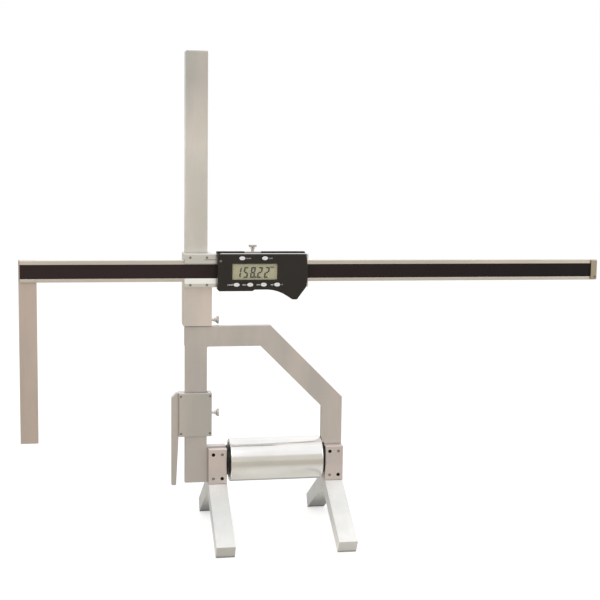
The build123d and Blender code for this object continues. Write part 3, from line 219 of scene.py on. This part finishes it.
def metal(name, colour, roughness, grain, variation=0.025, grain_bump=0.07, edge=EDGE, bright=1.25, crevice_shade=0.55,
          end_shade=None, top_shade=None):
    """Ground or satin steel: fine lines along the grain, cloudy tone, and edges rubbed bright.

    The last three arguments are painted shade: the share of the tone left in corners, the share left on the faces
    that look along Y, at the ends, and two heights with the share left above them, which darkens the top."""
    material, tree, shader = new_material(name)
    lines = noise(tree, *LINES, drawn_out(grain, LINE_STRETCH))
    clouds = noise(tree, *CLOUDS)
    specks = noise(tree, *SPECKS)
    bands = noise(tree, *BANDS, drawn_out(grain, BAND_STRETCH))
    tone = mix(tree, remap(tree, lines, LINE_SPAN), shade(colour, 1 - variation), shade(colour, 1 + variation))
    tone = mix(tree, remap(tree, clouds, CLOUD_SPAN, CLOUD_AMOUNT), tone, shade(colour, CLOUD_SHADE))
    tone = mix(tree, remap(tree, bands, COOL_SPAN, COOL_AMOUNT), tone, tinted(colour, COOL_TINT))
    tone = mix(tree, remap(tree, bands, WARM_SPAN, WARM_AMOUNT), tone, tinted(colour, WARM_TINT))
    # Painted shade on the faces that look along Y, the ends
    if end_shade is not None:
        turn = value_of(tree, "ABSOLUTE", along_axis(tree, "Normal", "Y"))
        tone = darkened(tree, tone, remap(tree, turn, END_SHADE_TURN), end_shade)
    # Painted shade: darker above the given heights
    if top_shade is not None:
        low, high, share = top_shade
        tone = darkened(tree, tone, remap(tree, along_axis(tree, "Object", "Z"), (low, high)), share)
    worn, rounded = edge_mask(tree, edge)
    worn = value_of(tree, "MULTIPLY", worn, remap(tree, specks, WEAR_SPAN, WEAR_AMOUNT))
    tone = mix(tree, worn, tone, shade(colour, bright))
    # Painted shade in crevices and corners
    tone = shade_crevices(tree, tone, crevice_shade)
    tree.links.new(tone, shader.inputs["Base Color"])
    gloss = remap(tree, clouds, GLOSS_SPAN, (roughness - 0.05, roughness + 0.06))
    tree.links.new(gloss, shader.inputs["Roughness"])
    tree.links.new(bump(tree, lines, grain_bump, LINE_DEPTH, rounded), shader.inputs["Normal"])
    shader.inputs["Metallic"].default_value = 1.0
    return material


GRAIN_DETAIL, GRAIN_ROUGHNESS = 2, 0.5
PATCH_SPAN = (0.35, 0.7)
EDGE_POLISH = (0, 0.6)
COAT_ROUGHNESS = 0.15
REFLECTION_ALONG_X = (0.25, -0.15)


def plastic(name, colour, roughness, scale=2500, depth=0.05 * MM, strength=0.3, variation=0.1, edge=EDGE, bright=1.5,
            coat=0.0, specular=0.5, reflection_colour=None):
    """Moulded plastic or rubber: a fine even grain, slight patches and edges polished by handling.

    The last argument is a painted reflection: the colour that the tone turns to towards the left end."""
    material, tree, shader = new_material(name)
    grain = noise(tree, scale, GRAIN_DETAIL, GRAIN_ROUGHNESS)
    patches = noise(tree, *PATCHES)
    tone = mix(tree, remap(tree, patches, PATCH_SPAN), shade(colour, 1 - variation), shade(colour, 1 + variation))
    # Painted reflection: lighter towards the left end
    if reflection_colour is not None:
        tone = mix(tree, remap(tree, along_axis(tree, "Object", "X"), REFLECTION_ALONG_X), tone, reflection_colour)
    worn, rounded = edge_mask(tree, edge)
    tone = mix(tree, remap(tree, worn, (0, 1), EDGE_POLISH), tone, shade(colour, bright))
    tree.links.new(tone, shader.inputs["Base Color"])
    gloss = remap(tree, patches, GLOSS_SPAN, (roughness - 0.04, roughness + 0.05))
    tree.links.new(gloss, shader.inputs["Roughness"])
    tree.links.new(bump(tree, grain, strength, depth, rounded), shader.inputs["Normal"])
    shader.inputs["Coat Weight"].default_value = coat
    shader.inputs["Coat Roughness"].default_value = COAT_ROUGHNESS
    shader.inputs["Specular IOR Level"].default_value = specular
    return material


def moulding(name, colour, edge, bright):
    """The caliper's matt black plastic."""
    return plastic(name, colour, 0.42, scale=3200, depth=0.04 * MM, strength=0.2, variation=0.08, edge=edge,
                   bright=bright, specular=0.3)


def ink(name, colour, roughness=0.55, strength=0.1, variation=0.03):
    """A thin print with a faint grain."""
    return plastic(name, colour, roughness, scale=3000, depth=0.01 * MM, strength=strength, variation=variation,
                   edge=0.1 * MM, bright=1.0)


def window_material(name, colour):
    """A clear window: it lets the display through and keeps a soft gloss."""
    material, tree, shader = new_material(name)
    smear = noise(tree, *SMEARS, (1, 1, 0.4))
    shader.inputs["Base Color"].default_value = colour
    tree.links.new(remap(tree, smear, GLOSS_SPAN, (0.06, 0.14)), shader.inputs["Roughness"])
    tree.links.new(remap(tree, smear, GLOSS_SPAN, (0.05, 0.08)), shader.inputs["Alpha"])
    return material


materials = {
    # The column's top is darker: painted shade
    "column": metal("column_steel", srgb(237, 234, 229), 0.42, "z", top_shade=(0.42, 0.49, 0.74)),
    "frame": metal("frame_steel", srgb(221, 216, 213), 0.42, "z"),
    "sleeve": metal("sleeve_steel", srgb(242, 234, 229), 0.40, "z"),
    "jaw": metal("jaw_steel", srgb(217, 214, 211), 0.40, "z"),
    "block": metal("block_steel", srgb(230, 221, 219), 0.42, "x"),
    # The foot's ends are darker: painted shade
    "foot": metal("foot_steel", srgb(246, 246, 244), 0.58, "y", end_shade=0.80),
    "leg": metal("leg_steel", srgb(222, 210, 203), 0.40, "z"),
    "beam": metal("beam_steel", srgb(238, 232, 224), 0.30, "x"),
    "keeper": metal("keeper_steel", srgb(248, 247, 243), 0.30, "x"),
    "end_stop": metal("end_stop_steel", srgb(188, 178, 160), 0.36, "x"),
    "screw": metal("black_screws", srgb(46, 43, 42), 0.38, "z", variation=0.1, grain_bump=0.1, edge=FINE_EDGE,
                   bright=1.8),
    "small_screw": metal("small_screws", srgb(154, 148, 140), 0.38, "z", variation=0.1, grain_bump=0.1,
                         edge=FINE_EDGE, bright=1.4),
    "dowel": metal("dowel_steel", srgb(164, 157, 151), 0.30, "y", variation=0.05, grain_bump=0.1, edge=FINE_EDGE,
                   bright=1.2),
    "bright": metal("bright_steel", srgb(236, 234, 230), 0.22, "x", variation=0.06, grain_bump=0.1, edge=FINE_EDGE,
                    bright=1.15),
    "tube": metal("polished_steel", srgb(246, 245, 243), 0.16, "x", variation=0.015, grain_bump=0.03, edge=SOFT_EDGE,
                  bright=1.0),
    # A bright strip that stands for the light caught along the housing's roof edge: painted highlight
    "roof_highlight": metal("roof_highlight_steel", srgb(222, 220, 217), 0.3, "x", variation=0.02, grain_bump=0.03, edge=0.1 * MM,
                  bright=1.0, crevice_shade=1.0),
    "axle": metal("axle_steel", srgb(120, 116, 112), 0.35, "x"),
    "gib": metal("gib_bronze", srgb(176, 140, 82), 0.35, "x"),
    "bush": plastic("bush_plastic", srgb(16, 15, 17), 0.30, coat=0.1, specular=0.35),
    "housing": moulding("housing_plastic", srgb(43, 39, 35), SOFT_EDGE, 1.7),
    "lid": moulding("lid_plastic", srgb(30, 27, 26), EDGE, 1.6),
    # The scale strip is lighter towards its left end: painted reflection
    "strip": plastic("strip_film", srgb(24, 17, 18), 0.34, scale=1200, depth=0.02 * MM, strength=0.1, edge=FINE_EDGE,
                     bright=1.2, specular=0.25, reflection_colour=srgb(46, 33, 33)),
    "button": plastic("button_plastic", srgb(240, 239, 236), 0.34, scale=2600, depth=0.02 * MM, strength=0.15,
                      variation=0.02, edge=0.3 * MM, bright=1.0, coat=0.2),
    "rubber": plastic("keypad_rubber", srgb(150, 150, 146), 0.7),
    "board": plastic("board_resist", srgb(38, 92, 54), 0.35, coat=0.3),
    "lcd": plastic("lcd_panel", srgb(186, 180, 143), 0.5, scale=1500, depth=0.01 * MM, strength=0.05, variation=0.03,
                   edge=FINE_EDGE, bright=1.05),
    "print": ink("label_print", srgb(236, 234, 230)),
    "faint_print": ink("faint_print", srgb(170, 168, 164)),
    "mark": ink("button_marks", srgb(140, 140, 138)),
    "segment": ink("lcd_segments", srgb(24, 22, 12), roughness=0.45, strength=0.05, variation=0.08),
    "window": window_material("window_clear", srgb(214, 216, 202)),
}

# The CAD nodes that take each look
LOOKS = {
    "column": "column",
    "frame": "frame_plate",
    "block": "left_front_block left_rear_block right_front_block right_rear_block",
    "foot": "left_v_foot right_v_foot",
    "sleeve": "carriage_channel carriage_back_plate",
    "keeper": "cursor_frame upper_keeper lower_keeper",
    "jaw": "jaw_blade jaw_side_bar jaw_cover_plate jaw_back_plate",
    "beam": "beam",
    "leg": "measuring_leg",
    "end_stop": "end_stop",
    "strip": "scale_strip",
    "screw": "column_screws foot_screws block_screws carriage_back_screws leg_screws",
    "small_screw": "keeper_screws housing_screws end_stop_screw jaw_screws",
    "dowel": "column_dowels block_dowels",
    "tube": "grip_tube",
    "bush": "left_grip_bush right_grip_bush",
    "axle": "grip_axle",
    "gib": "carriage_gib beam_gib jaw_gib",
    "bright": "carriage_lock beam_lock jaw_lock battery battery_clip",
    "housing": "housing_shell",
    "lid": "battery_lid",
    "window": "display_window",
    "lcd": "lcd_panel",
    "board": "circuit_board",
    "rubber": "contact_strips upper_keypad lower_keypad",
    "button": "mode_button hold_button power_button zero_button unit_button preset_button",
}
look_of = {node: look for look, nodes in LOOKS.items() for node in nodes.split()}
for node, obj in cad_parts.items():
    obj.data.materials.clear()
    obj.data.materials.append(materials[look_of[node]])


# Pieces made here

def piece(name, mesh_data, look, body):
    obj = bpy.data.objects.new(name, mesh_data)
    scene.collection.objects.link(obj)
    obj.data.materials.clear()
    obj.data.materials.append(materials[look])
    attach(obj, body)
    return obj


def from_bmesh(name, bm):
    mesh_data = bpy.data.meshes.new(name)
    bmesh.ops.recalc_face_normals(bm, faces=bm.faces)
    bm.to_mesh(mesh_data)
    bm.free()
    return mesh_data


def bridge(bm, near, far):
    """The faces between two rings of as many points."""
    count = len(near)
    return [bm.faces.new((near[k], near[(k + 1) % count], far[(k + 1) % count], far[k])) for k in range(count)]


def plate_from_outlines(name, outlines, front_y, thickness):
    """Thin raised plates, each from an outline in X and Z, whose front face stands at front_y."""
    bm = bmesh.new()
    for outline in outlines:
        face = bm.faces.new([bm.verts.new((x, front_y, z)) for x, z in outline])
        grown = bmesh.ops.extrude_face_region(bm, geom=[face])
        moved = [v for v in grown["geom"] if isinstance(v, bmesh.types.BMVert)]
        bmesh.ops.translate(bm, verts=moved, vec=(0, thickness, 0))
    return from_bmesh(name, bm)


def bevelled_strip(name, ends, back_y, base_z, size):
    """A strip along X with one sloping face, whose back stands at back_y and its foot on base_z."""
    profile = [(back_y, base_z), (back_y - size, base_z), (back_y, base_z + size)]
    bm = bmesh.new()
    near, far = ([bm.verts.new((x, y, z)) for y, z in profile] for x in ends)
    bridge(bm, near, far)
    bm.faces.new(near)
    bm.faces.new(far)
    return from_bmesh(name, bm)


def turned_tube(name, low, high, bore, corner, segments, corner_steps):
    """A tube along X that fills its box, with a bore and rounded outer corners."""
    mid_y, mid_z, radius = (low.y + high.y) / 2, (low.z + high.z) / 2, (high.z - low.z) / 2
    angles = [pi / 2 * k / corner_steps for k in range(corner_steps, -1, -1)]
    arc = [(corner * (1 - sin(a)), radius - corner * (1 - cos(a))) for a in angles]
    profile = [(low.x, bore)] + [(low.x + x, r) for x, r in arc]
    profile += [(high.x - x, r) for x, r in reversed(arc)] + [(high.x, bore)]
    turns = [(cos(2 * pi * k / segments), sin(2 * pi * k / segments)) for k in range(segments)]
    bm = bmesh.new()
    rings = [[bm.verts.new((x, mid_y + r * c, mid_z + r * s)) for c, s in turns] for x, r in profile]
    for i, near in enumerate(rings):
        flat = i in (0, len(rings) - 2)
        for face in bridge(bm, near, rings[(i + 1) % len(rings)]):
            face.smooth = not flat
    for ring in (rings[0], rings[1], rings[-2], rings[-1]):
        for k in range(segments):
            edge = bm.edges.get((ring[k], ring[(k + 1) % segments]))
            edge.smooth = ring in (rings[1], rings[-2])
    return from_bmesh(name, bm)


def rounded_plate(name, low, high, corner, edge, steps=4):
    """A plate with rounded corners in X and Z and a bevelled front edge. Its front is its lowest Y."""
    ring = []
    for cx, cz, start in (
        (high.x - corner, high.z - corner, 0), (low.x + corner, high.z - corner, 90),
        (low.x + corner, low.z + corner, 180), (high.x - corner, low.z + corner, 270),
    ):
        for k in range(steps + 1):
            angle = radians(start + 90 * k / steps)
            ring.append((cx + corner * cos(angle), cz + corner * sin(angle)))
    mid_x, mid_z = (low.x + high.x) / 2, (low.z + high.z) / 2
    half_x, half_z = (high.x - low.x) / 2, (high.z - low.z) / 2
    bm = bmesh.new()
    loops = []
    for y, inset in ((high.y, 0), (low.y + edge, 0), (low.y + edge * 0.3, edge * 0.3), (low.y, edge)):
        wide, tall = (half_x - inset) / half_x, (half_z - inset) / half_z
        loops.append([bm.verts.new((mid_x + (x - mid_x) * wide, y, mid_z + (z - mid_z) * tall)) for x, z in ring])
    for near, far in zip(loops, loops[1:]):
        bridge(bm, near, far)
    bm.faces.new(loops[0])
    bm.faces.new(loops[-1])
    return from_bmesh(name, bm)


LETTER_THICKNESS = 0.03 * MM
LETTER_RESOLUTION = 4


def lettering(name, text, size, x, z, front_y, look, body, align="CENTER", shear=0.0, weight=0.0):
    """Flat raised lettering on a face that looks at the reader. weight thickens its strokes."""
    curve = bpy.data.curves.new(name, "FONT")
    curve.body = text
    curve.size = size
    curve.align_x = align
    curve.align_y = "CENTER"
    curve.extrude = LETTER_THICKNESS / 2
    curve.offset = weight
    curve.shear = shear
    curve.resolution_u = LETTER_RESOLUTION
    writer = bpy.data.objects.new(name, curve)
    scene.collection.objects.link(writer)
    bpy.context.view_layer.update()
    mesh_data = bpy.data.meshes.new_from_object(writer.evaluated_get(bpy.context.evaluated_depsgraph_get()))
    bpy.data.objects.remove(writer)
    bpy.data.curves.remove(curve)
    mesh_data.name = name
    mesh_data.transform(Matrix.Translation((x, front_y, z)) @ Matrix.Rotation(pi / 2, 4, "X"))
    obj = piece(name, mesh_data, look, body)
    return obj


# Grip tube, turned smooth and round
TUBE_ROUND = 1.2 * MM
TUBE_SEGMENTS = 192
TUBE_ROUND_STEPS = 5

tube_low, tube_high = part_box("grip_tube")
bush_low, bush_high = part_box("left_grip_bush")
tube_bore = (bush_high.z - bush_low.z) / 2
tube_mesh = turned_tube("polished_tube", tube_low, tube_high, tube_bore, TUBE_ROUND, TUBE_SEGMENTS, TUBE_ROUND_STEPS)
tube = piece("polished_tube", tube_mesh, "tube", "grip")
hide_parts("grip_tube")

# Display digits
window_low, window_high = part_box("display_window")
lcd_low, lcd_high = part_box("lcd_panel")
READING = "15822"
DIGITS_BEFORE_POINT = 3
DIGIT_WIDTH, DIGIT_HEIGHT, DIGIT_PITCH = 5.1 * MM, 11.6 * MM, 7.45 * MM
DIGITS_LEFT, DIGITS_BASE = 3.5 * MM, 1.8 * MM
DIGIT_THICKNESS = 0.04 * MM
DIGITS_OFF_PANEL = 0.10 * MM
SEGMENT = 1.7 * MM
SEGMENT_GAP = 0.12 * MM
BAR_POINT = 0.6
SLANT = tan(radians(9))
SEGMENTS = {"1": "bc", "2": "abged", "5": "afgcd", "8": "abcdefg"}


def segment_outlines(cell_x, base_z, lit):
    """The outlines of one digit's lit segments, slanted like the display's."""
    w, h, t, g = DIGIT_WIDTH, DIGIT_HEIGHT, SEGMENT, SEGMENT_GAP
    half = h / 2
    shapes = {
        "a": [(g, h), (w - g, h), (w - t - g, h - t), (t + g, h - t)],
        "d": [(t + g, t), (w - t - g, t), (w - g, 0), (g, 0)],
        "g": [(t * BAR_POINT, half), (t + g, half + t / 2), (w - t - g, half + t / 2), (w - t * BAR_POINT, half),
              (w - t - g, half - t / 2), (t + g, half - t / 2)],
        "f": [(0, h - g), (t, h - t - g), (t, half + t / 2 + g), (t / 2, half + g), (0, half + t / 2)],
        "b": [(w, h - g), (w, half + t / 2), (w - t / 2, half + g), (w - t, half + t / 2 + g), (w - t, h - t - g)],
        "e": [(0, g), (0, half - t / 2), (t / 2, half - g), (t, half - t / 2 - g), (t, t + g)],
        "c": [(w, g), (w - t, t + g), (w - t, half - t / 2 - g), (w - t / 2, half - g), (w, half - t / 2)],
    }
    return [[(cell_x + x + z * SLANT, base_z + z) for x, z in shapes[s]] for s in lit]


digits_x, digits_z = window_low.x + DIGITS_LEFT, window_low.z + DIGITS_BASE
outlines = []
for i, digit in enumerate(READING):
    outlines += segment_outlines(digits_x + i * DIGIT_PITCH, digits_z, SEGMENTS[digit])
point_x = digits_x + DIGITS_BEFORE_POINT * DIGIT_PITCH - (DIGIT_PITCH - DIGIT_WIDTH + SEGMENT) / 2
outlines.append([(point_x, digits_z), (point_x, digits_z + SEGMENT), (point_x + SEGMENT, digits_z + SEGMENT),
                 (point_x + SEGMENT, digits_z)])
digits_mesh = plate_from_outlines("lcd_digits", outlines, lcd_low.y - DIGITS_OFF_PANEL, DIGIT_THICKNESS)
digits = piece("lcd_digits", digits_mesh, "segment", "carriage")

# Window over the display
LENS_OFF_PANEL = 0.55 * MM
LENS_CORNER, LENS_EDGE = 0.5 * MM, 0.2 * MM

lens_high = Vector((window_high.x, lcd_low.y - LENS_OFF_PANEL, window_high.z))
lens_mesh = rounded_plate("window_lens", window_low, lens_high, LENS_CORNER, LENS_EDGE)
lens = piece("window_lens", lens_mesh, "window", "carriage")
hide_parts("display_window")

# Unit beside the digits, and the words and signs at the buttons
UNIT_SIZE = 2.6 * MM
UNIT_FROM_LEFT, UNIT_ABOVE_BASE = 42.6 * MM, 13.2 * MM
UNIT_OFF_PANEL = 0.08 * MM
UNIT_SHEAR = 0.15
UNIT_WEIGHT = 0.12 * MM
LABEL_SIZE = 2.3 * MM
LABEL_WEIGHT = 0.05 * MM
LABEL_GAP = 4.0 * MM
MARK_SIZE = 1.5 * MM
# Each word, and -1 for left of the button or 1 for right of it
LABELS = {
    "mode": (("mode", 1),), "hold": (("hold", 1),),
    "power": (("on/off", -1),), "zero": (("zero", -1),), "unit": (("unit", -1),),
    "preset": (("set", -1), ("+/-", 1)),
}

housing_low, housing_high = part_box("housing_shell")
lettering("lcd_unit", "mm", UNIT_SIZE, window_low.x + UNIT_FROM_LEFT, window_low.z + UNIT_ABOVE_BASE,
          lcd_low.y - UNIT_OFF_PANEL, "segment", "carriage", shear=UNIT_SHEAR, weight=UNIT_WEIGHT)
for name, texts in LABELS.items():
    low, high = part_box(f"{name}_button")
    mid_x, mid_z = (low.x + high.x) / 2, (low.z + high.z) / 2
    lettering(f"mark_{name}", "<>", MARK_SIZE, mid_x, mid_z, low.y, "mark", f"{name}_button")
    for text, side in texts:
        lettering(f"label_{name}_{side + 1}", text, LABEL_SIZE, mid_x + side * LABEL_GAP, mid_z, housing_low.y,
                  "print" if side < 0 else "faint_print", "carriage",
                  align="LEFT" if side > 0 else "RIGHT", weight=LABEL_WEIGHT)

# Painted highlight: a bright steel strip along the housing's roof, in front of the ridge, standing for the light
# that the roof's edge catches
HIGHLIGHT_SIZE = 0.8 * MM
HIGHLIGHT_FROM_FRONT = 2.2 * MM
HIGHLIGHT_FROM_LEFT, HIGHLIGHT_FROM_RIGHT = 2.6 * MM, 2.4 * MM
ROOF_ABOVE_BEAM_MIDDLE = 18.7 * MM

beam_low, beam_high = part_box("beam")
highlight_ends = (housing_low.x + HIGHLIGHT_FROM_LEFT, housing_high.x - HIGHLIGHT_FROM_RIGHT)
roof_z = (beam_low.z + beam_high.z) / 2 + ROOF_ABOVE_BEAM_MIDDLE
highlight_mesh = bevelled_strip("roof_highlight_strip", highlight_ends, housing_low.y + HIGHLIGHT_FROM_FRONT, roof_z, HIGHLIGHT_SIZE)
roof_highlight = piece("roof_highlight_strip", highlight_mesh, "roof_highlight", "carriage")


# Floor and world: white to the camera and through glass, a pale room in reflections, plain light elsewhere

def by_ray(tree, seen, mirrored, other):
    """A level by the kind of ray: seen by the camera or through glass, mirrored in gloss, or any other."""
    paths = tree.nodes.new("ShaderNodeLightPath")
    straight = value_of(tree, "MAXIMUM", paths.outputs["Is Camera Ray"], paths.outputs["Is Transmission Ray"])
    gloss = value_of(tree, "SUBTRACT", paths.outputs["Is Glossy Ray"], straight)
    gloss = value_of(tree, "MAXIMUM", gloss, 0.0)
    rest = value_of(tree, "SUBTRACT", value_of(tree, "SUBTRACT", 1.0, straight), gloss)
    level = value_of(tree, "MULTIPLY", straight, seen)
    level = value_of(tree, "ADD", level, value_of(tree, "MULTIPLY", gloss, mirrored))
    return value_of(tree, "ADD", level, value_of(tree, "MULTIPLY", rest, other))


FLOOR_SIZE = 12
FLOOR_SEEN = 0.5
FLOOR_MIRRORED = 0.13
FLOOR_COLOUR = (0.82, 0.82, 0.82, 1)
# The floor's colour in reflections: close to the object, farther off, and a painted shadow in the strip behind the
# grip tube
CLOSE_FLOOR = (0.80, 0.78, 0.72, 1)
FAR_FLOOR = (0.50, 0.45, 0.37, 1)
SHADOW_STRIP_FLOOR = (0.20, 0.20, 0.19, 1)
CLOSE_FADE = (0.10, 0.22)
SHADOW_STRIP_START, SHADOW_STRIP_END = (0.02, 0.06), (0.12, 0.20)

bpy.ops.mesh.primitive_plane_add(size=FLOOR_SIZE, location=(0, 0, 0))
floor = bpy.context.active_object
floor.name = "floor"
floor_material = bpy.data.materials.new("floor_pale")
floor_material.use_nodes = True
tree = floor_material.node_tree
tree.nodes.clear()
out = tree.nodes.new("ShaderNodeOutputMaterial")
diffuse = tree.nodes.new("ShaderNodeBsdfDiffuse")
spot = tree.nodes.new("ShaderNodeTexCoord")
away = tree.nodes.new("ShaderNodeVectorMath")
away.operation = "LENGTH"
tree.links.new(spot.outputs["Object"], away.inputs[0])
depth = along_axis(tree, "Object", "Y")
mirrored = mix(tree, remap(tree, away.outputs["Value"], CLOSE_FADE, (1, 0)), FAR_FLOOR, CLOSE_FLOOR)
# Painted shadow: the strip behind the grip tube, dark in reflections
strip = value_of(tree, "MULTIPLY", remap(tree, depth, SHADOW_STRIP_START), remap(tree, depth, SHADOW_STRIP_END, (1, 0)))
mirrored = mix(tree, strip, mirrored, SHADOW_STRIP_FLOOR)
tree.links.new(mix(tree, by_ray(tree, 0.0, 1.0, 0.0), FLOOR_COLOUR, mirrored), diffuse.inputs["Color"])
glow = tree.nodes.new("ShaderNodeEmission")
tree.links.new(by_ray(tree, FLOOR_SEEN, FLOOR_MIRRORED, 0.0), glow.inputs["Strength"])
both = tree.nodes.new("ShaderNodeAddShader")
tree.links.new(diffuse.outputs["BSDF"], both.inputs[0])
tree.links.new(glow.outputs["Emission"], both.inputs[1])
tree.links.new(both.outputs["Shader"], out.inputs["Surface"])
floor.data.materials.append(floor_material)

WORLD_LIGHT = 0.62
WHITE = (1, 1, 1, 1)
WALL_COLOUR = (1.0, 0.95, 0.86, 1)
WALL_LEVEL = 0.70
OVERHEAD_LEVEL = 0.95


def elevations(low, high):
    """The world's Z coordinate at two elevations in degrees."""
    return sin(radians(low)), sin(radians(high))


WALL_TOP = elevations(24, 31)
OVERHEAD = elevations(35, 55)
BEHIND = (-0.1, 0.1)

world = bpy.data.worlds.new("studio")
scene.world = world
world.use_nodes = True
tree = world.node_tree
tree.nodes.clear()
out = tree.nodes.new("ShaderNodeOutputWorld")
background = tree.nodes.new("ShaderNodeBackground")
up_part, deep_part = along_axis(tree, "Generated", "Z"), along_axis(tree, "Generated", "Y")
white = value_of(tree, "MAXIMUM", remap(tree, up_part, WALL_TOP), remap(tree, deep_part, BEHIND))
mirrored = value_of(tree, "MULTIPLY", remap(tree, white, (0, 1), (WALL_LEVEL, 1.0)),
                    remap(tree, up_part, OVERHEAD, (1.0, OVERHEAD_LEVEL)))
tree.links.new(by_ray(tree, 1.0, mirrored, WORLD_LIGHT), background.inputs["Strength"])
tree.links.new(mix(tree, by_ray(tree, 1.0, white, 1.0), WALL_COLOUR, WHITE), background.inputs["Color"])
tree.links.new(background.outputs["Background"], out.inputs["Surface"])


# Soft lamps: place and aim in metres, side in metres and power in watts

def area_light(name, place, aim, size, power):
    data = bpy.data.lights.new(name, "AREA")
    data.energy = power
    data.size = size
    lamp = bpy.data.objects.new(name, data)
    scene.collection.objects.link(lamp)
    lamp.location = place
    lamp.rotation_euler = (Vector(aim) - Vector(place)).to_track_quat("-Z", "Y").to_euler()


area_light("key", (-0.9, -1.3, 1.6), (-0.03, 0, 0.2), 1.2, 8)
area_light("top", (0.0, 0.3, 1.7), (0, 0, 0.2), 4.0, 3.2)
area_light("fill", (1.4, -1.0, 0.9), (0, 0, 0.2), 1.2, 5)

# Camera at the photograph's viewing angle
YAW, PITCH, ROLL = radians(10.55), radians(6.63), radians(0.738)
CAMERA_AT = (-0.2550, -1.2661, 0.4060)
FOCAL_PX, PHOTO_PX = 1193.2, 600
SENSOR_WIDTH = 36
CLIP_START = 0.05

forward = Vector((sin(YAW) * cos(PITCH), cos(YAW) * cos(PITCH), -sin(PITCH)))
level_right = Vector((cos(YAW), -sin(YAW), 0))
level_up = level_right.cross(forward)
right = cos(ROLL) * level_right + sin(ROLL) * level_up
up = -sin(ROLL) * level_right + cos(ROLL) * level_up
camera_data = bpy.data.cameras.new("camera")
camera_data.sensor_width = SENSOR_WIDTH
camera_data.lens = FOCAL_PX / PHOTO_PX * SENSOR_WIDTH
camera_data.clip_start = CLIP_START
camera = bpy.data.objects.new("camera", camera_data)
scene.collection.objects.link(camera)
camera.matrix_world = Matrix.Translation(CAMERA_AT) @ Matrix((right, up, -forward)).transposed().to_4x4()
scene.camera = camera
scene.view_settings.view_transform = "Standard"
